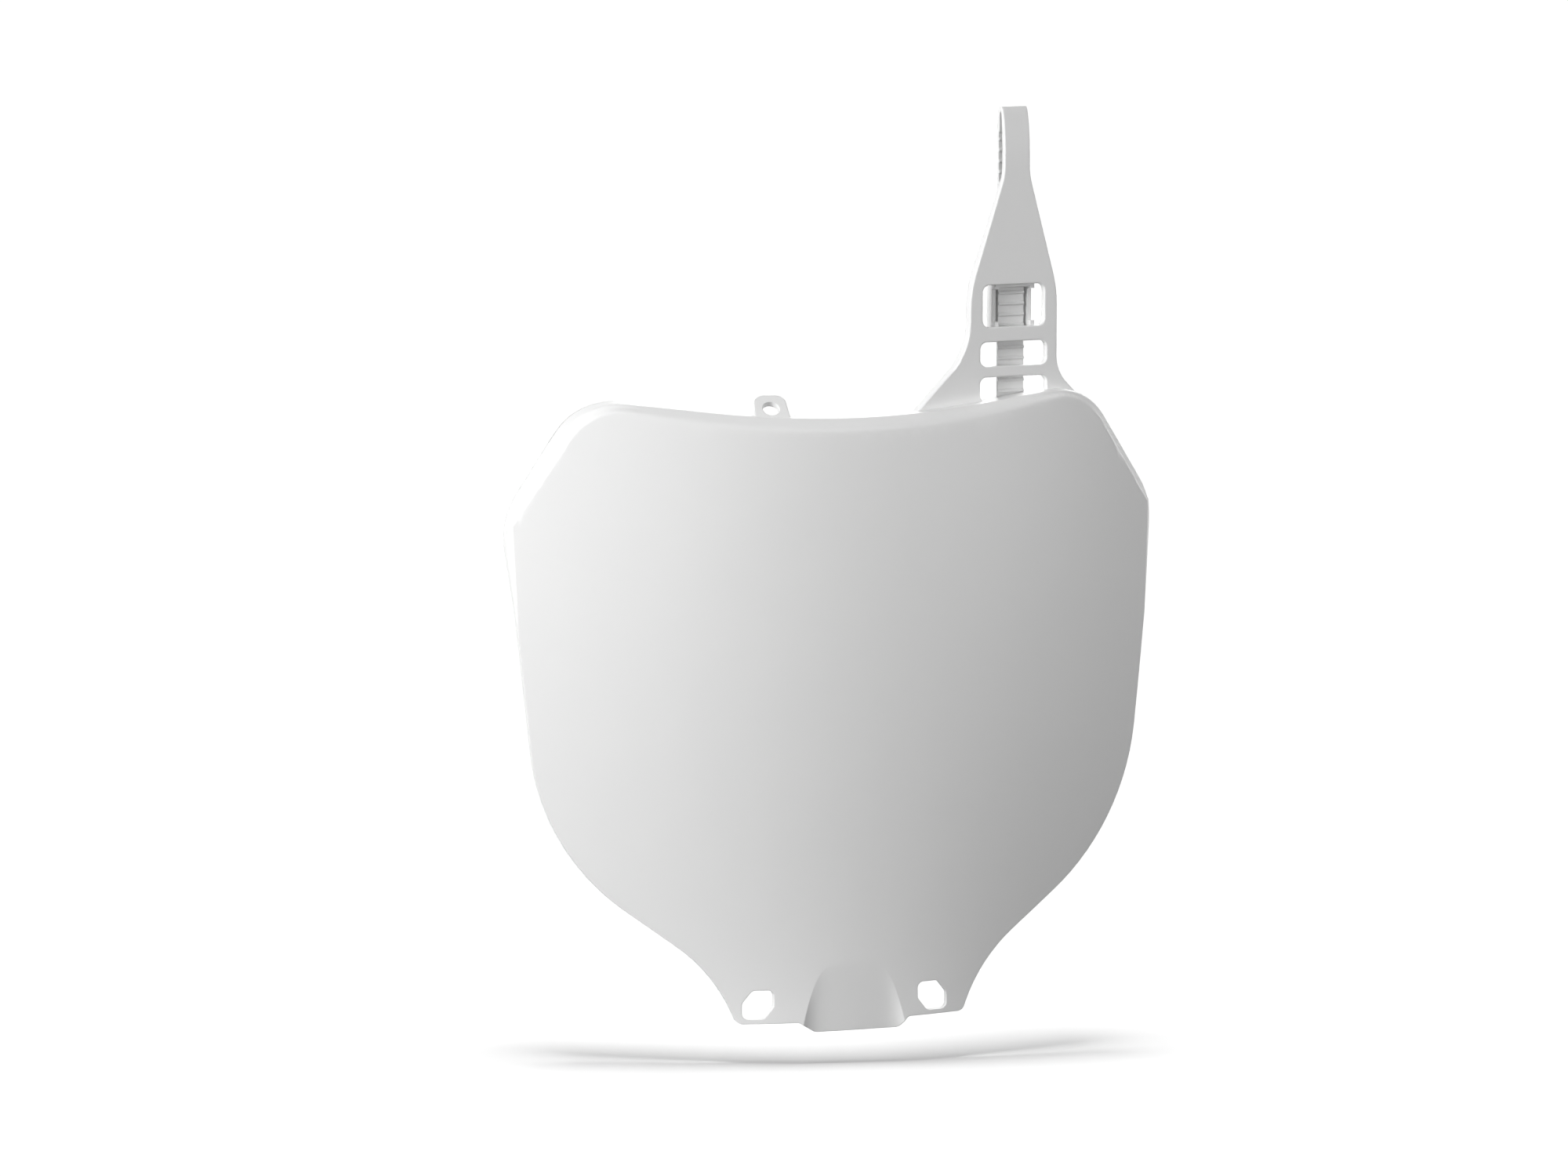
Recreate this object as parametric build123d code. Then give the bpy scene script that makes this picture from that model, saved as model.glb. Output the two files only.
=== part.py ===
"""A one-piece moulded number board with a strap, as fixed to the front of an off-road motorcycle.

Millimetres. Z is up, X runs to the viewer's right and the face looks along -Y.
The origin is midway between the two lower slots, at the mean depth of the front of the wall at them.
"""
import math
import os

from build123d import *

# Wall of the board and its curved face
wall = 2.6
face_radius = 310.0
foot_radius = 190.0
face_bow = 4.2
bow_height = 125.0
bow_span = 100.0
foot_flare = 5.6
flare_reach = 29.5

# Outline of the board seen from the front, right half, the left half is its mirror
dip_drop = 11.5
dip_blend = 440.0
corner_half = 96.0
corner_height = 223.8
corner_blend = 24.0
side_half = 125.1
side_drop = 44.5
side_blend = 32.0
shoulder_half = 113.0
shoulder_height = 57.5
shoulder_blend = 85.0
waist_half = 51.5
waist_height = 12.0
waist_blend = 60.0
foot_half = 43.6
foot_drop = 7.0
foot_blend = 3.0
lip_half = 21.2
lip_left_run = 6.4
lip_right_run = 3.6
lip_drop = 11.0
lip_blend = 4.0
lip_crease = 2.0

# Shallow channel between the two pads at the foot
channel_inset = 1.0
channel_depth = 2.6
channel_rise = 25.0
channel_fade = 0.6

# Turned-back rim along the top and the upper sides, fading out below the side corners
rim_width = 4.5
rim_depth = 7.6
rim_fade = 42.3
rim_full = 6.7

# Band rolled back along the top edge, wider in the middle than at the corners
band_top = 5.0
band_corner = 3.0
band_slope_top = 1.1
band_slope_corner = 1.3
band_roll_top = 3.0
band_roll_corner = 0.9
band_narrow = 0.95
band_change = 0.45

# Slots in the two pads: blocks with two opposite corners cut off, the pair a little left of the board's middle
slot_spacing = 67.0
slot_shift = 2.5
slot_width = 11.8
slot_height = 10.8
slot_cut_width = 3.8
slot_cut_height = 4.8
slot_blend = 2.4

# Lug with a screw hole, leaning back from the top rim
lug_offset = 28.8
lug_width = 13.4
lug_taper = 1.0
lug_length = 11.4
lug_foot = 3.0
lug_hole = 6.4
lug_hole_rise = 5.0
lug_wall = 2.4
lug_lean = 47.0
lug_blend = 4.0
lug_sink = 0.8
lug_relief = 0.8

# Neck that carries the strap, its heights measured up from its foot
neck_offset = 66.9
neck_turn = 8.0
neck_drop = 12.8
neck_sink = 1.5
neck_half = 18.0
neck_wall = 2.4
neck_flange = 3.4
neck_flange_wall = 2.0
neck_left_foot = 45.0
neck_right_foot = 35.5
neck_left_rise = 26.5
neck_right_rise = 17.7
neck_shoulder = 48.5
neck_taper = 54.5
neck_left_blend = 26.0
neck_right_blend = 14.0
neck_shoulder_blend = 44.0
edge_round = 0.6

# Windows in the neck, from the top one down
window_widths = (25.4, 27.2, 27.4)
window_rises = (35.0, 20.5, 7.5)
window_heights = (15.5, 9.0, 9.0)
window_blend = 2.6
window_round = 0.5

# Strap that loops over at the top and runs down behind the neck
strap_offset = 1.2
strap_width = 10.6
strap_wall = 2.0
strap_gap = 2.4
strap_start = 91.0
strap_blend = 24.0
strap_rise = 116.0
strap_curl = 20.0
curl_drop = 5.0
curl_share = 0.56
tail_drop = 15.0
tail_wall = 1.4
rib_below = 9.6
rib_height = 0.6
rib_pitch = 4.05
rib_width = 1.3

# Keeper behind the top window and the pawl inside it
keeper_clearance = 1.2
keeper_leg = 1.6
keeper_foot = 1.8
keeper_bar = 1.5
keeper_gap = 0.5
keeper_root = 0.6
keeper_margin = 2.5
keeper_slant = 2.0
pawl_height = 2.2
pawl_slant = 0.8
pawl_margin = 1.0

# Longer than any depth of the board, for cuts that pass right through it
through = 100.0


def front(x, z):
    """Depth of the moulded face at a place seen from the front."""
    foot_share = math.exp(-z / flare_reach)
    line = face_bow * ((z - bow_height) / bow_span) ** 2 - foot_flare * foot_share
    bend = 1 / face_radius + (1 / foot_radius - 1 / face_radius) * foot_share
    return line + bend * x * x / 2


slot_front = front(slot_spacing / 2, 0)


def face_depth(x, z):
    """Depth of the face measured from the front of the wall at the slots."""
    return front(x, z) - slot_front


def graph_face(columns, rows, depth):
    """Smooth face whose depth along Y is a formula of the place seen from the front."""
    points = [[(x, depth(x, z), z) for z in rows] for x in columns]
    return Face.make_surface_from_array_of_points(points, min_deg=3)


def spread(low, high, count):
    """Evenly spaced values from low to high."""
    return [low + (high - low) * step / (count - 1) for step in range(count)]


# Outline of the board
dip_height = corner_height - dip_drop
side_height = corner_height - side_drop
half_points = [
    (corner_half, corner_height),
    (side_half, side_height),
    (shoulder_half, shoulder_height),
    (waist_half, waist_height),
    (foot_half, -foot_drop),
]
half_radii = [corner_blend, side_blend, shoulder_blend, waist_blend, foot_blend]
mirror_points = [(-x, z) for x, z in reversed(half_points)]
mirror_radii = list(reversed(half_radii))
lip_points = [
    (lip_half, -foot_drop),
    (lip_half - lip_right_run, -lip_drop),
    (lip_left_run - lip_half, -lip_drop),
    (-lip_half, -foot_drop),
]
lip_radii = [lip_crease, lip_blend, lip_blend, lip_crease]
board_points = [(0, dip_height)] + half_points + lip_points + mirror_points
board_radii = [dip_blend] + half_radii + lip_radii + mirror_radii
board_outline = make_face(FilletPolyline(*board_points, radius=board_radii, close=True))
board_column = extrude(Plane.XZ * board_outline, amount=through, both=True)

# Line of the top edge and the slanting corners, carried on past the sides
reach = side_half + 12
corner_fall = (corner_height - side_height) / (side_half - corner_half)
far_height = corner_height - (reach - corner_half) * corner_fall
crown_line = [
    (-reach, far_height),
    (-corner_half, corner_height),
    (0, dip_height),
    (corner_half, corner_height),
    (reach, far_height),
]
crown_path = FilletPolyline(*crown_line, radius=[corner_blend, dip_blend, corner_blend])


def band_sink(x, inset):
    """How far the band lies behind the face at a distance inside the top edge."""
    share = min(1, max(0, (band_narrow - abs(x) / corner_half) / band_change))
    share = share * share * (3 - 2 * share)
    past = band_corner + (band_top - band_corner) * share - inset
    slope = band_slope_corner + (band_slope_top - band_slope_corner) * share
    roll = band_roll_corner + (band_roll_top - band_roll_corner) * share
    if past <= 0:
        return 0
    if past < roll:
        return slope * past * past / (2 * roll)
    return slope * (past - roll / 2)


def face_column(place, along):
    """Points up the face below one place on the top edge, closer together where the band rolls back."""
    insets = [2 * band_top, 1.5 * band_top] + spread(1.2 * band_top, 0, 7) + [-1, -2.5]
    foot_row = -lip_drop - 8
    heights = spread(foot_row, place.Y - insets[0] / along.X, 15)[:-1]
    sinks = [0 for _ in heights] + [band_sink(place.X, inset) for inset in insets]
    heights = heights + [place.Y - inset / along.X for inset in insets]
    return [(place.X, face_depth(place.X, z) + sink, z) for z, sink in zip(heights, sinks)]


# Curved wall of the board, rolled back in a band below its top edge
crown_steps = spread(0, 1, 91)
crown_places = [(crown_path.position_at(step), crown_path.tangent_at(step)) for step in crown_steps]
face_columns = [face_column(place, along) for place, along in crown_places]
face = Face.make_surface_from_array_of_points(face_columns, min_deg=3)
panel = extrude(face, amount=wall, dir=(0, 1, 0))
ahead = extrude(face, amount=through, dir=(0, -1, 0))

# Shallow channel, pressed into the wall between the pads
channel_half = lip_half - channel_inset


def channel_depth_at(x, z):
    """Depth of the channel floor, which comes out through the face at the channel's edge."""
    rise = (z + lip_drop) / channel_rise
    sink = 1 - (x / channel_half) ** 6 - rise * (1 + channel_fade * (1 - rise))
    return face_depth(x, z) + channel_depth * sink


channel_columns = spread(-channel_half * 1.25, channel_half * 1.25, 27)
channel_rows = spread(-lip_drop - 5, channel_rise - lip_drop + 6, 11)
channel = graph_face(channel_columns, channel_rows, channel_depth_at)
channel_back = extrude(channel, amount=wall, dir=(0, 1, 0)) - ahead
panel = panel + channel_back - extrude(channel, amount=through, dir=(0, -1, 0))
board = panel & board_column

# Turned-back rim: a wall behind the board's edge, fading out down the sides
crown_points = [(0, dip_height)] + half_points[:3] + mirror_points[-3:]
crown_radii = [dip_blend] + half_radii[:2] + [0, 0] + mirror_radii[-2:]
crown = make_face(FilletPolyline(*crown_points, radius=crown_radii, close=True))
hollow = extrude(Plane.XZ * offset(crown, amount=-rim_width), amount=through, both=True)
rim_bottom = side_height - rim_fade
rim_span = rim_fade + rim_full


def rim_back(x, z):
    """Depth of the rim's back where it runs out down the sides."""
    return face_depth(x, z) + wall / 2 + rim_depth * (z - rim_bottom) / rim_span


runout_columns = spread(side_half - 30, side_half + 8, 7)
runout_rows = spread(rim_bottom - 6, rim_bottom + rim_span + 30, 8)
runout = extrude(graph_face(runout_columns, runout_rows, rim_back), amount=through, dir=(0, 1, 0))
rim_room = Pos(0, 0, rim_bottom + reach) * Box(2 * reach, 2 * through, 2 * reach)
rim_ring = (board_column & rim_room) - hollow - runout - mirror(runout, about=Plane.YZ)
rim = rim_ring & extrude(Pos(0, wall / 2, 0) * face, amount=rim_depth, dir=(0, 1, 0))
board = board + rim

# Band down the upper sides, running out at the end of the rim
side_lean = (side_half - shoulder_half) / (side_height - shoulder_height)


def side_band(x, z):
    """Depth of the band beside the outline, ahead of the face inside the band's crease."""
    edge = side_half - side_lean * (side_height - z)
    crease = edge - band_corner * (z - rim_bottom) / rim_span
    return face_depth(x, z) + band_slope_corner * (x - crease)


side_columns = spread(side_half - 14, side_half + 6, 7)
side_rows = spread(rim_bottom - 8, side_height + 14, 7)
side_cut = extrude(graph_face(side_columns, side_rows, side_band), amount=through, dir=(0, -1, 0))
board = board - side_cut - mirror(side_cut, about=Plane.YZ)

# Slots through the two pads, one the mirror of the other
slot_corner = (slot_width / 2, slot_height / 2)
slot_side = (slot_width / 2, slot_cut_height - slot_height / 2)
slot_end = (slot_width / 2 - slot_cut_width, -slot_height / 2)
slot_points = [slot_corner, slot_side, slot_end]
slot_points = slot_points + [(-x, -z) for x, z in slot_points]
slot = make_face(FilletPolyline(*slot_points, radius=slot_blend, close=True))
left_slot = extrude(Plane.XZ * Pos(-slot_spacing / 2, 0) * slot, amount=through, both=True)
right_slot = mirror(left_slot, about=Plane.YZ)
board = board - Pos(-slot_shift, 0, 0) * left_slot - Pos(-slot_shift, 0, 0) * right_slot

# Lug with its screw hole
dip_angle = math.atan2(corner_height - dip_height, corner_half)
dip_bottom = dip_height + dip_blend * (1 / math.cos(dip_angle) - 1)
lug_root = dip_bottom + lug_offset ** 2 / (2 * dip_blend)
lug_depth = face_depth(-lug_offset, lug_root) + band_sink(lug_offset, 0)
lug_turn = math.atan2(-lug_offset, face_radius)
lean = math.radians(lug_lean)
lug_across = Vector(math.cos(lug_turn), math.sin(lug_turn), 0)
lug_up = Vector(-math.sin(lug_turn) * math.sin(lean), math.cos(lug_turn) * math.sin(lean), math.cos(lean))
lug_plane = Plane((-lug_offset, lug_depth, lug_root), x_dir=lug_across, z_dir=lug_across.cross(lug_up))
lug_outline = FilletPolyline(
    (-lug_width / 2, -lug_foot),
    (lug_width / 2, -lug_foot),
    (lug_width / 2 - lug_taper, lug_length),
    (lug_taper - lug_width / 2, lug_length),
    radius=[0, 0, lug_blend, lug_blend],
    close=True,
)
lug = extrude(lug_plane.offset(-lug_sink) * make_face(lug_outline), amount=-lug_wall)
hole = Pos(0, lug_hole_rise) * Circle(lug_hole / 2)
hole = extrude(lug_plane * hole, amount=through, both=True)

# Room in the rim behind the lug for the end of its screw
relief = Pos(0, lug_hole_rise) * Circle(lug_hole / 2 + lug_relief)
relief = extrude(lug_plane.offset(-lug_sink - lug_wall) * relief, amount=-through)
board = board - relief + lug - hole

# Neck: a sheet with turned-back edges, standing up behind the rim
neck_foot = corner_height - neck_drop
turn = math.radians(neck_turn)
neck_across = Vector(math.cos(turn), math.sin(turn), 0)
neck_back = Vector(-math.sin(turn), math.cos(turn), 0)
neck_depth = face_depth(neck_offset, corner_height) + wall / 2 + rim_depth - neck_sink
neck_origin = Vector(neck_offset, neck_depth, neck_foot)
neck_plane = Plane(neck_origin, x_dir=neck_across, z_dir=-neck_back)
side_plane = Plane(neck_origin, x_dir=neck_back, z_dir=neck_across)
strap_left = strap_offset - strap_width / 2
strap_right = strap_offset + strap_width / 2
strap_spring = strap_rise - strap_curl
neck_points = [
    (-neck_left_foot, 0),
    (neck_right_foot, 0),
    (neck_half, neck_right_rise),
    (neck_half, neck_shoulder),
    (strap_right, strap_start),
    (strap_right, strap_spring),
    (strap_left, strap_spring),
    (strap_left, strap_start),
    (-neck_half, neck_shoulder),
    (-neck_half, neck_left_rise),
]
neck_radii = [0, 0, neck_right_blend, neck_shoulder_blend, strap_blend]
neck_radii = neck_radii + [0, 0, strap_blend, neck_shoulder_blend, neck_left_blend]
neck_face = make_face(FilletPolyline(*neck_points, radius=neck_radii, close=True))
neck = extrude(neck_plane * neck_face, amount=-neck_flange)


def depth_behind(item):
    """How far an item's centre lies behind the front of the neck."""
    return (item.center() - neck_origin).dot(neck_back)


def rise_above(item):
    """How far an item's centre lies above the foot of the neck."""
    return item.center().Z - neck_foot


neck_front = neck.faces().sort_by(depth_behind)[0]
neck_edges = neck_front.edges().filter_by(lambda edge: 1 < rise_above(edge) < strap_spring - 0.1)
neck = fillet(neck_edges, edge_round)
pocket_face = offset(neck_face, amount=-neck_flange_wall)
pocket = extrude(neck_plane.offset(-neck_wall) * pocket_face, amount=-through)
taper = Polyline(
    (strap_wall, strap_start),
    (neck_flange, neck_taper),
    (through, neck_taper),
    (through, strap_rise),
    (strap_wall, strap_rise),
    close=True,
)
neck = neck - pocket - extrude(side_plane * make_face(taper), amount=through, both=True)

# Windows through the neck
for width, rise, height in zip(window_widths, window_rises, window_heights):
    window = Pos(0, rise + height / 2) * RectangleRounded(width, height, window_blend)
    neck = neck - extrude(neck_plane * window, amount=through, both=True)
neck_front = neck.faces().sort_by(depth_behind)[0]
window_edges = [edge for wire in neck_front.inner_wires() for edge in wire.edges()]
neck = fillet(window_edges, window_round)
board = board + (neck - hollow)

# Strap: curl over the top and ribbed tail
loop_depth = 2 * strap_wall + strap_gap
inner_back = loop_depth - strap_wall
curl_front = loop_depth * curl_share
curl_back = loop_depth - curl_front
curl_side = strap_rise - curl_drop
rib_start = strap_rise - rib_below
rib_front = loop_depth - tail_wall
front_centre = (curl_front, strap_spring)
back_centre = (curl_front, curl_side)
inner_curl = strap_curl - strap_wall
inner_drop = curl_drop - strap_wall
outer_front = EllipticalCenterArc(front_centre, curl_front, strap_curl, 90, arc_size=90)
outer_rear = EllipticalCenterArc(back_centre, curl_back, curl_drop, 0, arc_size=90)
inner_rear = EllipticalCenterArc(back_centre, curl_back - strap_wall, inner_drop, 0, arc_size=90)
inner_front = EllipticalCenterArc(front_centre, curl_front - strap_wall, inner_curl, 90, arc_size=90)
tail_line = Polyline(
    (loop_depth, curl_side),
    (loop_depth, -tail_drop),
    (rib_front, -tail_drop),
    (rib_front, rib_start),
    (inner_back, rib_start),
    (inner_back, curl_side),
)
spring_line = Line((strap_wall, strap_spring), (0, strap_spring))
strap_face = make_face(outer_front + outer_rear + tail_line + inner_rear + inner_front + spring_line)
strap_plane = side_plane.offset(strap_left)
strap = extrude(strap_plane * strap_face, amount=strap_width)
curl_edges = strap.edges().filter_by(lambda edge: rise_above(edge) > strap_spring + 1)
curl_edges = curl_edges.filter_by(lambda edge: depth_behind(edge) < strap_wall)
strap = fillet(curl_edges, edge_round)
rib_count = int((rib_start + tail_drop) / rib_pitch)
for index in range(rib_count):
    crest = rib_start - rib_pitch * (index + 0.75)
    rib = Polyline(
        (rib_front + rib_height / 2, crest + rib_width),
        (rib_front, crest + rib_width),
        (rib_front - rib_height, crest + rib_width / 2),
        (rib_front - rib_height, crest),
        (rib_front + rib_height / 2, crest),
        close=True,
    )
    strap = strap + extrude(strap_plane * make_face(rib), amount=strap_width)

# Keeper that guides the tail behind the top window
window_top = window_rises[0] + window_heights[0]
keeper_bottom = window_rises[0] - keeper_margin
keeper_top = window_top + keeper_margin
keeper_inner = strap_width / 2 + keeper_clearance
keeper_outer = keeper_inner + keeper_leg
keeper_front = neck_wall - keeper_root
bar_front = loop_depth + keeper_gap
bar_back = bar_front + keeper_bar
keeper_side = Polyline(
    (keeper_front, keeper_bottom),
    (bar_back, keeper_bottom + keeper_slant),
    (bar_back, keeper_top - keeper_slant),
    (keeper_front, keeper_top),
    close=True,
)
keeper_plane = side_plane.offset(strap_offset)
keeper = extrude(keeper_plane * make_face(keeper_side), amount=keeper_outer, both=True)
tunnel_width = bar_front - keeper_front
tunnel = Pos(keeper_front + tunnel_width / 2, keeper_bottom) * Rectangle(tunnel_width, through)
keeper = keeper - extrude(keeper_plane * tunnel, amount=keeper_inner, both=True)

# Keeper's legs set back level with the tail, their feet at the top and the bottom of the window
leg_front = rib_front - rib_height
notch_bottom = window_rises[0] + keeper_foot
notch_middle = (notch_bottom + window_top - keeper_foot) / 2
notch = Pos(leg_front / 2, notch_middle) * Rectangle(leg_front, 2 * (notch_middle - notch_bottom))
keeper = keeper - extrude(keeper_plane * notch, amount=through, both=True)

# Pawl that the tail's ribs catch on
pawl_top = window_top + pawl_margin
pawl_bottom = pawl_top - pawl_height
pawl_back = inner_back - keeper_gap
pawl_side = Polyline(
    (keeper_front, pawl_bottom),
    (pawl_back, pawl_bottom + pawl_slant),
    (pawl_back, pawl_top),
    (keeper_front, pawl_top),
    close=True,
)
pawl = extrude(keeper_plane * make_face(pawl_side), amount=keeper_inner + keeper_leg / 2, both=True)
board = board + keeper + pawl + strap

# Origin midway between the slots
board = Pos(slot_shift, 0, 0) * board

os.makedirs("parts", exist_ok=True)
export_step(board, "parts/number_board.step")
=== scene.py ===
"""Visual scene of a moulded racing number board, upright over a plain pale floor."""
import logging
import math
from dataclasses import dataclass, field
from enum import Enum

import bpy
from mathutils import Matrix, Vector

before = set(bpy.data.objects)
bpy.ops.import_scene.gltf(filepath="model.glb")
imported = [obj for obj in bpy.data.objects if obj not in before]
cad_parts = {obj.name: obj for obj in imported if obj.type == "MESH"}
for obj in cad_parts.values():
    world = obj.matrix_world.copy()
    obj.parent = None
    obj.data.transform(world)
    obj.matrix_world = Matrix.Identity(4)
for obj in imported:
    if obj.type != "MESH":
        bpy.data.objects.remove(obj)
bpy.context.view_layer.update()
log = logging.getLogger("number_board")

MM_PER_M = 1000.0
Colour = tuple[float, float, float]


class Seen(Enum):
    """Kinds of ray that see the surround and the floor as white."""

    CAMERA = "Is Camera Ray"
    GLOSSY = "Is Glossy Ray"
    TRANSMISSION = "Is Transmission Ray"


class Reach(Enum):
    """What a lamp lights, as the floor's state in the lamp's light linking."""

    BOARD = "EXCLUDE"
    FLOOR = "INCLUDE"


def seen_share(
    nodes: bpy.types.Nodes, links: bpy.types.NodeLinks
) -> bpy.types.NodeSocket:
    """Adds nodes that tell the rays that see a surface from those that it lights.

    Args:
        nodes: Nodes of the material or world.
        links: Links of the same tree.

    Returns:
        The socket that carries 1 for the kinds in Seen and 0 for other rays.
    """
    path = nodes.new("ShaderNodeLightPath")
    total = path.outputs[Seen.CAMERA.value]
    for kind in (Seen.GLOSSY, Seen.TRANSMISSION):
        larger = nodes.new("ShaderNodeMath")
        larger.operation = "MAXIMUM"
        links.new(total, larger.inputs[0])
        links.new(path.outputs[kind.value], larger.inputs[1])
        total = larger.outputs[0]
    return total


def way_out(azimuth: float, elevation: float) -> Vector:
    """Gives the direction from the board to a place round it.

    Args:
        azimuth: Angle from the board's front, to the viewer's right, in degrees.
        elevation: Angle above the horizon, in degrees.

    Returns:
        The direction, of length 1.
    """
    turn, rise = math.radians(azimuth), math.radians(elevation)
    flat = math.cos(rise)
    return Vector((math.sin(turn) * flat, -math.cos(turn) * flat, math.sin(rise)))


@dataclass(frozen=True)
class NoiseLayer:
    """One noise of the mould's texture.

    Attributes:
        label: Name of the group's output.
        smallest_mm: Smallest size that the group's input takes.
        detail: Number of finer layers in the noise.
    """

    label: str
    smallest_mm: float
    detail: float

    @property
    def size_label(self) -> str:
        """Name of the group's input for the noise's size."""
        return f"{self.label} Size mm"


@dataclass(frozen=True)
class MouldGrain:
    """Fine texture that the mould leaves on plastic, as one shader node group."""

    name: str = "mould_grain"
    grain: NoiseLayer = NoiseLayer("Grain", smallest_mm=0.01, detail=3.0)
    flow: NoiseLayer = NoiseLayer("Flow", smallest_mm=1.0, detail=2.0)
    noise_roughness: float = 0.55

    def group(self) -> bpy.types.NodeTree:
        """Builds the group, or finds it when it is built already.

        Returns:
            The node group, with grain and flow that change over the surface.
        """
        known = bpy.data.node_groups.get(self.name)
        if known is not None:
            return known
        tree = bpy.data.node_groups.new(self.name, "ShaderNodeTree")
        layers = (self.grain, self.flow)
        for layer in layers:
            socket = tree.interface.new_socket(
                name=layer.size_label, in_out="INPUT", socket_type="NodeSocketFloat"
            )
            socket.min_value = layer.smallest_mm
        for layer in layers:
            tree.interface.new_socket(
                name=layer.label, in_out="OUTPUT", socket_type="NodeSocketFloat"
            )
        nodes, links = tree.nodes, tree.links
        entry = nodes.new("NodeGroupInput")
        leave = nodes.new("NodeGroupOutput")
        place = nodes.new("ShaderNodeTexCoord")
        for layer in layers:
            count = nodes.new("ShaderNodeMath")
            count.operation = "DIVIDE"
            count.inputs[0].default_value = MM_PER_M
            links.new(entry.outputs[layer.size_label], count.inputs[1])
            noise = nodes.new("ShaderNodeTexNoise")
            noise.inputs["Detail"].default_value = layer.detail
            noise.inputs["Roughness"].default_value = self.noise_roughness
            links.new(place.outputs["Object"], noise.inputs["Vector"])
            links.new(count.outputs[0], noise.inputs["Scale"])
            links.new(noise.outputs["Fac"], leave.inputs[layer.label])
        return tree


@dataclass(frozen=True)
class WhitePlastic:
    """Semi-gloss white moulded plastic, smooth in front and matt behind.

    Attributes:
        name: Name of the material.
        colour: Base colour where the flow is strong.
        thin_colour: Base colour where the flow is weak.
        ior: Index of refraction.
        front_roughness: Roughness of what faces forward.
        back_roughness: Roughness of what faces back.
        front_facing: Y of the normal below which a face counts as front.
        back_facing: Y of the normal above which a face counts as back.
        flow_stir: Most that the flow adds to the roughness.
        texture: The mould's texture.
        grain_mm: Size of the grain.
        flow_mm: Size of the flow marks.
        grain_depth: Depth of the grain, in metres.
        edge_radius: Radius that edges are shaded with, in metres.
    """

    name: str = "white_plastic"
    colour: Colour = (0.86, 0.86, 0.856)
    thin_colour: Colour = (0.835, 0.837, 0.836)
    ior: float = 1.49
    front_roughness: float = 0.30
    back_roughness: float = 0.52
    front_facing: float = -0.2
    back_facing: float = 0.3
    flow_stir: float = 0.08
    texture: MouldGrain = MouldGrain()
    grain_mm: float = 0.55
    flow_mm: float = 42.0
    grain_depth: float = 0.000012
    edge_radius: float = 0.0005

    def material(self) -> bpy.types.Material:
        """Builds the material.

        Returns:
            The material, with its colour, gloss, grain and softened edges from nodes.
        """
        made = bpy.data.materials.new(self.name)
        made.use_nodes = True
        tree = made.node_tree
        shader = tree.nodes["Principled BSDF"]
        shader.inputs["IOR"].default_value = self.ior
        mould = tree.nodes.new("ShaderNodeGroup")
        mould.node_tree = self.texture.group()
        mould.inputs[self.texture.grain.size_label].default_value = self.grain_mm
        mould.inputs[self.texture.flow.size_label].default_value = self.flow_mm
        grain = mould.outputs[self.texture.grain.label]
        flow = mould.outputs[self.texture.flow.label]
        self._tint(tree, flow, shader)
        self._gloss(tree, flow, shader)
        self._relief(tree, grain, shader)
        return made

    def _tint(
        self, tree: bpy.types.NodeTree, flow: bpy.types.NodeSocket, shader: bpy.types.Node
    ) -> None:
        """Joins the base colour, which drifts a little with the flow.

        Args:
            tree: Node tree of the material.
            flow: Socket that carries the flow.
            shader: The Principled BSDF.
        """
        tone = tree.nodes.new("ShaderNodeMix")
        tone.data_type = "RGBA"
        tone.inputs["A"].default_value = (*self.thin_colour, 1.0)
        tone.inputs["B"].default_value = (*self.colour, 1.0)
        tree.links.new(flow, tone.inputs["Factor"])
        tree.links.new(tone.outputs["Result"], shader.inputs["Base Color"])

    def _gloss(
        self, tree: bpy.types.NodeTree, flow: bpy.types.NodeSocket, shader: bpy.types.Node
    ) -> None:
        """Joins the roughness, by the way the wall faces and stirred by the flow.

        Args:
            tree: Node tree of the material.
            flow: Socket that carries the flow.
            shader: The Principled BSDF.
        """
        nodes, links = tree.nodes, tree.links
        facing = nodes.new("ShaderNodeNewGeometry")
        split = nodes.new("ShaderNodeSeparateXYZ")
        links.new(facing.outputs["Normal"], split.inputs["Vector"])
        side = nodes.new("ShaderNodeMapRange")
        side.inputs["From Min"].default_value = self.front_facing
        side.inputs["From Max"].default_value = self.back_facing
        side.inputs["To Min"].default_value = self.front_roughness
        side.inputs["To Max"].default_value = self.back_roughness
        links.new(split.outputs["Y"], side.inputs["Value"])
        stir = nodes.new("ShaderNodeMath")
        stir.operation = "MULTIPLY_ADD"
        stir.inputs[1].default_value = self.flow_stir
        links.new(flow, stir.inputs[0])
        links.new(side.outputs["Result"], stir.inputs[2])
        links.new(stir.outputs[0], shader.inputs["Roughness"])

    def _relief(
        self, tree: bpy.types.NodeTree, grain: bpy.types.NodeSocket, shader: bpy.types.Node
    ) -> None:
        """Joins the normal, with softened edges under the grain.

        Args:
            tree: Node tree of the material.
            grain: Socket that carries the grain.
            shader: The Principled BSDF.
        """
        edge = tree.nodes.new("ShaderNodeBevel")
        edge.inputs["Radius"].default_value = self.edge_radius
        bump = tree.nodes.new("ShaderNodeBump")
        bump.inputs["Distance"].default_value = self.grain_depth
        tree.links.new(edge.outputs["Normal"], bump.inputs["Normal"])
        tree.links.new(grain, bump.inputs["Height"])
        tree.links.new(bump.outputs["Normal"], shader.inputs["Normal"])


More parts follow.
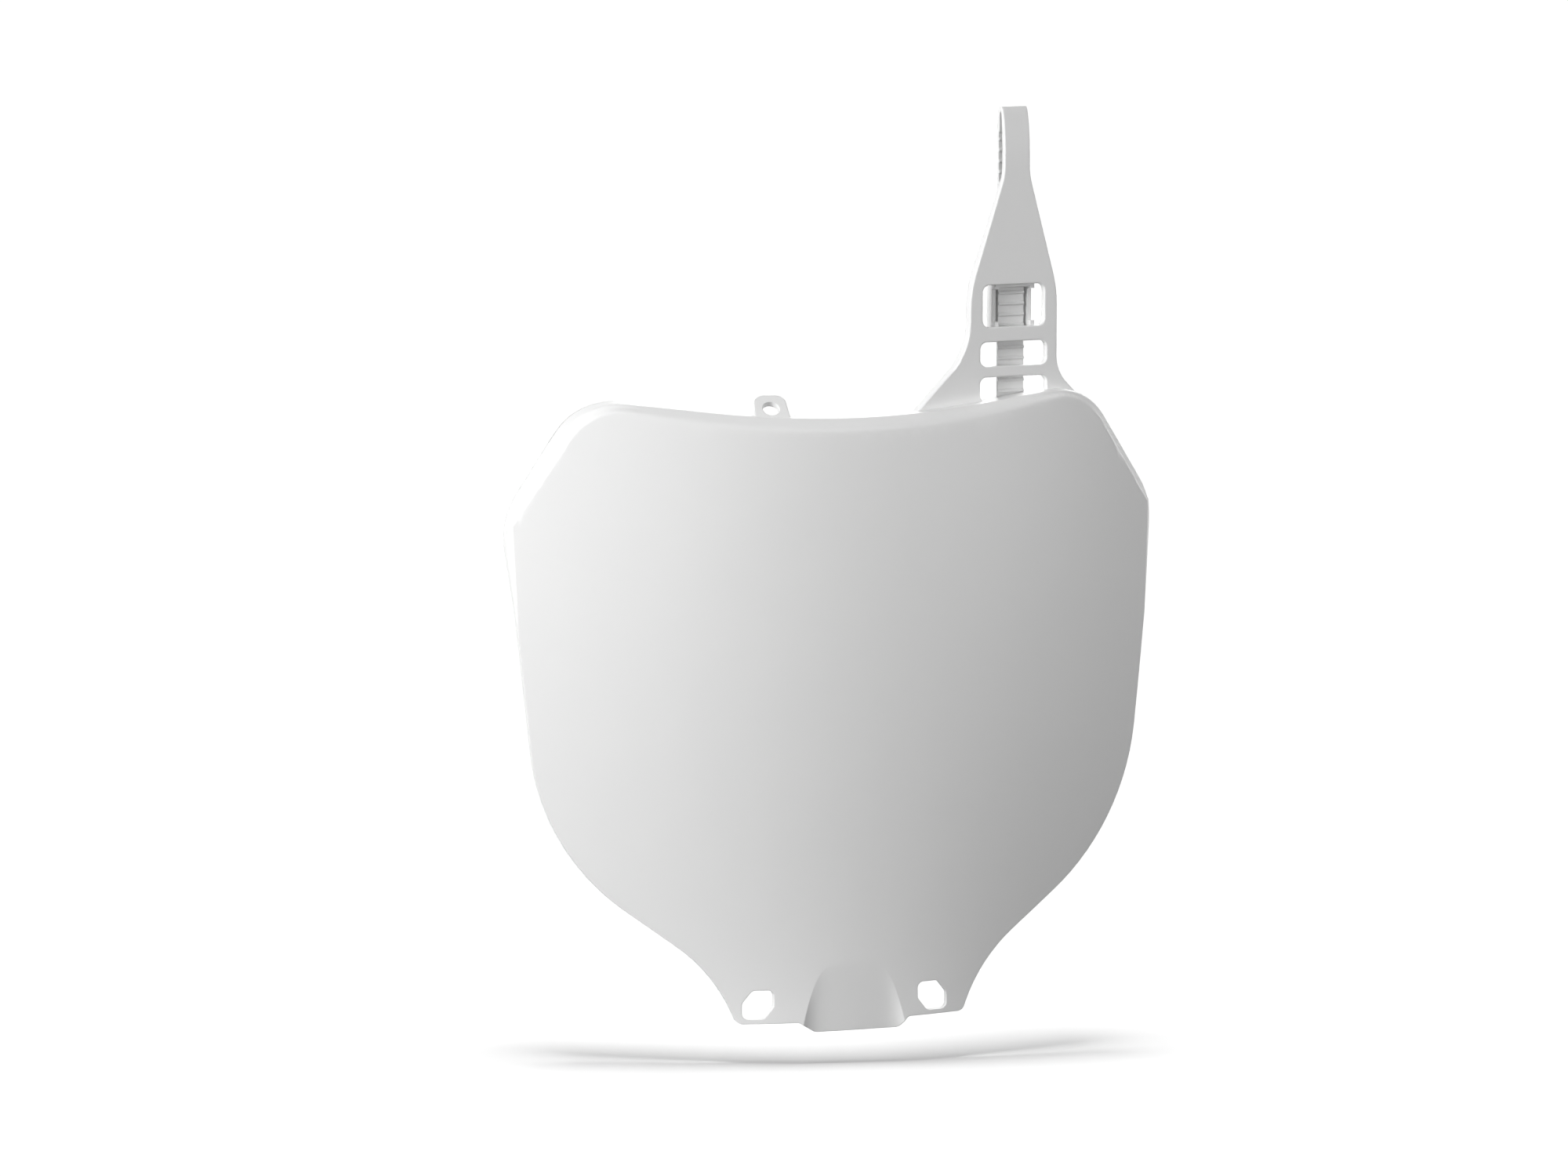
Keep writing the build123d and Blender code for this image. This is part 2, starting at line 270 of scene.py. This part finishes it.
@dataclass(frozen=True)
class PaleFloorFinish:
    """Floor that looks white and still takes the board's shadow.

    Attributes:
        name: Name of the material.
        seen_colour: Colour for the rays that see the floor.
        lit_colour: Colour for the rays that the floor lights.
        glow: Light that the floor adds for the rays that see it.
    """

    name: str = "pale_floor"
    seen_colour: Colour = (0.9, 0.9, 0.9)
    lit_colour: Colour = (0.024, 0.024, 0.024)
    glow: float = 0.22

    def material(self) -> bpy.types.Material:
        """Builds the material.

        Returns:
            A diffuse finish, pale and glowing when it is seen and dark as a light.
        """
        made = bpy.data.materials.new(self.name)
        made.use_nodes = True
        nodes, links = made.node_tree.nodes, made.node_tree.links
        nodes.clear()
        leave = nodes.new("ShaderNodeOutputMaterial")
        share = seen_share(nodes, links)
        tone = nodes.new("ShaderNodeMix")
        tone.data_type = "RGBA"
        tone.inputs["A"].default_value = (*self.lit_colour, 1.0)
        tone.inputs["B"].default_value = (*self.seen_colour, 1.0)
        links.new(share, tone.inputs["Factor"])
        paint = nodes.new("ShaderNodeBsdfDiffuse")
        links.new(tone.outputs["Result"], paint.inputs["Color"])
        glow = nodes.new("ShaderNodeEmission")
        strength = nodes.new("ShaderNodeMath")
        strength.operation = "MULTIPLY"
        strength.inputs[1].default_value = self.glow
        links.new(share, strength.inputs[0])
        links.new(strength.outputs[0], glow.inputs["Strength"])
        both = nodes.new("ShaderNodeAddShader")
        links.new(paint.outputs["BSDF"], both.inputs[0])
        links.new(glow.outputs["Emission"], both.inputs[1])
        links.new(both.outputs["Shader"], leave.inputs["Surface"])
        return made


@dataclass
class NumberBoard:
    """The moulding itself, dressed in its plastic."""

    node: str = "number_board"
    finish: WhitePlastic = field(default_factory=WhitePlastic)

    def dress(self) -> bpy.types.Object:
        """Puts the plastic on the CAD node.

        Returns:
            The dressed object.
        """
        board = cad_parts[self.node]
        board.data.materials.clear()
        board.data.materials.append(self.finish.material())
        return board


@dataclass(frozen=True)
class Lamp:
    """A lamp's strength and place round the board.

    Attributes:
        name: Name of the lamp.
        level: Light on a white card that faces the lamp, where 1 is white.
        azimuth: Angle from the board's front, to the viewer's right, in degrees.
        elevation: Angle above the horizon, in degrees.
    """

    name: str
    level: float
    azimuth: float
    elevation: float


@dataclass(frozen=True)
class Panel(Lamp):
    """A square panel light, for the board alone.

    Attributes:
        size: Length of the panel's sides, in metres.
    """

    size: float = 1.0

    def light(self, distance: float) -> bpy.types.Light:
        """Makes the lamp's data.

        Args:
            distance: Distance from the panel to what it lights, in metres.

        Returns:
            The area light.
        """
        data = bpy.data.lights.new(self.name, "AREA")
        data.size = self.size
        data.energy = self.level * math.pi ** 2 * distance ** 2
        return data


@dataclass(frozen=True)
class Sky(Lamp):
    """An even light from far away, for the floor alone.

    Attributes:
        spread: Angle that the light comes from, in degrees.
    """

    spread: float = 18.0

    def light(self) -> bpy.types.Light:
        """Makes the lamp's data.

        Returns:
            The sun light.
        """
        data = bpy.data.lights.new(self.name, "SUN")
        data.energy = self.level * math.pi
        data.angle = math.radians(self.spread)
        return data


@dataclass
class Studio:
    """Floor, white surround and lamps.

    Attributes:
        floor_height: Height of the floor under the origin, in metres.
        floor_span: Length of the floor's sides, in metres.
        floor_fall: Fall of the floor to the right, per metre.
        ambient: Strength of the surround as a light.
        lamp_distance: Distance from each lamp to the board's middle, in metres.
        middle: The board's middle, which the lamps point at.
        panels: Lamps of the board: two at the left, one behind, and weaker ones
            at the right, in front and above.
        sky: Lamp of the floor.
        floor_object: The floor, once it is laid.
    """

    floor_height: float = -0.0232
    floor_span: float = 30.0
    floor_fall: float = 0.04
    ambient: float = 0.02
    lamp_distance: float = 2.0
    middle: tuple[float, float, float] = (0.0, 0.0, 0.13)
    panels: tuple[Panel, ...] = (
        Panel("key", level=0.82, azimuth=-64.0, elevation=26.0),
        Panel("side", level=0.72, azimuth=-76.0, elevation=0.0),
        Panel("fill", level=0.18, azimuth=42.0, elevation=4.0),
        Panel("rim", level=0.22, azimuth=94.0, elevation=13.0, size=0.5),
        Panel("front", level=0.09, azimuth=-17.0, elevation=8.0),
        Panel("top", level=0.07, azimuth=24.0, elevation=40.0, size=0.5),
        Panel("back", level=0.6, azimuth=150.0, elevation=35.0),
    )
    sky: Sky = Sky("floor_light", level=0.9, azimuth=0.0, elevation=90.0)
    floor_object: bpy.types.Object | None = None

    def floor(self) -> bpy.types.Object:
        """Lays the floor under the board.

        Returns:
            The floor.
        """
        mesh = bpy.data.meshes.new("floor")
        half = self.floor_span / 2
        corners = [(-half, -half), (half, -half), (half, half), (-half, half)]
        places = [(x, y, self.floor_height - self.floor_fall * x) for x, y in corners]
        mesh.from_pydata(places, [], [(0, 1, 2, 3)])
        mesh.materials.append(PaleFloorFinish().material())
        self.floor_object = bpy.data.objects.new("floor", mesh)
        bpy.context.scene.collection.objects.link(self.floor_object)
        return self.floor_object

    def surround(self) -> bpy.types.World:
        """Makes the world white to look at and dim as a light.

        Returns:
            The world.
        """
        world = bpy.data.worlds.new("surround")
        bpy.context.scene.world = world
        world.use_nodes = True
        nodes, links = world.node_tree.nodes, world.node_tree.links
        strength = nodes.new("ShaderNodeMapRange")
        strength.inputs["To Min"].default_value = self.ambient
        strength.inputs["To Max"].default_value = 1.0
        links.new(seen_share(nodes, links), strength.inputs["Value"])
        shade = nodes["Background"]
        shade.inputs["Color"].default_value = (1.0, 1.0, 1.0, 1.0)
        links.new(strength.outputs["Result"], shade.inputs["Strength"])
        return world

    def lamps(self) -> list[bpy.types.Object]:
        """Sets up the lamps, once the floor is laid.

        Returns:
            The lamps of the board, then the lamp of the floor.
        """
        hung = [
            self._hang(panel, panel.light(self.lamp_distance), Reach.BOARD)
            for panel in self.panels
        ]
        hung.append(self._hang(self.sky, self.sky.light(), Reach.FLOOR))
        return hung

    def _hang(self, lamp: Lamp, light: bpy.types.Light, reach: Reach) -> bpy.types.Object:
        """Puts a lamp in its place, aimed at the middle of the board.

        Args:
            lamp: The lamp's place.
            light: The lamp's data.
            reach: What the lamp lights.

        Returns:
            The lamp.
        """
        away = way_out(lamp.azimuth, lamp.elevation)
        hung = bpy.data.objects.new(light.name, light)
        hung.location = Vector(self.middle) + away * self.lamp_distance
        hung.rotation_euler = (-away).to_track_quat("-Z", "Y").to_euler()
        bpy.context.scene.collection.objects.link(hung)
        lit = bpy.data.collections.new(f"{light.name}_lights")
        lit.objects.link(self.floor_object)
        hung.light_linking.receiver_collection = lit
        lit.collection_objects[0].light_linking.link_state = reach.value
        return hung


@dataclass
class Viewpoint:
    """Camera at the photograph's viewing angle, for a frame of 2000 by 1500.

    Attributes:
        target: Point in the middle of the frame.
        azimuth: Angle from the board's front, to the viewer's right, in degrees.
        elevation: Angle above the horizon, in degrees.
        distance: Distance from the target, in metres.
        lens: Focal length, in millimetres.
        sensor: Width of the sensor, in millimetres.
        clip_end: Distance up to which things are seen, in metres.
    """

    target: tuple[float, float, float] = (-0.02496, -0.00397, 0.155)
    azimuth: float = -17.0
    elevation: float = 8.0
    distance: float = 2.28
    lens: float = 144.0
    sensor: float = 36.0
    clip_end: float = 100.0

    def place(self) -> bpy.types.Object:
        """Stands the camera.

        Returns:
            The camera.
        """
        back = way_out(self.azimuth, self.elevation)
        data = bpy.data.cameras.new("viewpoint")
        data.lens = self.lens
        data.sensor_fit = "HORIZONTAL"
        data.sensor_width = self.sensor
        data.clip_end = self.clip_end
        camera = bpy.data.objects.new("viewpoint", data)
        camera.location = Vector(self.target) + back * self.distance
        camera.rotation_euler = (-back).to_track_quat("-Z", "Y").to_euler()
        bpy.context.scene.collection.objects.link(camera)
        bpy.context.scene.camera = camera
        return camera


def main() -> None:
    """Builds the scene in order and reports each piece."""
    logging.basicConfig(level=logging.INFO, format="%(message)s")
    bpy.context.scene.view_settings.view_transform = "Standard"
    board = NumberBoard()
    log.info("board: %s", board.dress().name)
    studio = Studio()
    log.info("floor: %s", studio.floor().name)
    for lamp in studio.lamps():
        log.info("lamp: %s", lamp.name)
    log.info("surround: %s", studio.surround().name)
    log.info("camera: %s", Viewpoint().place().name)


if __name__ == "__main__":
    main()
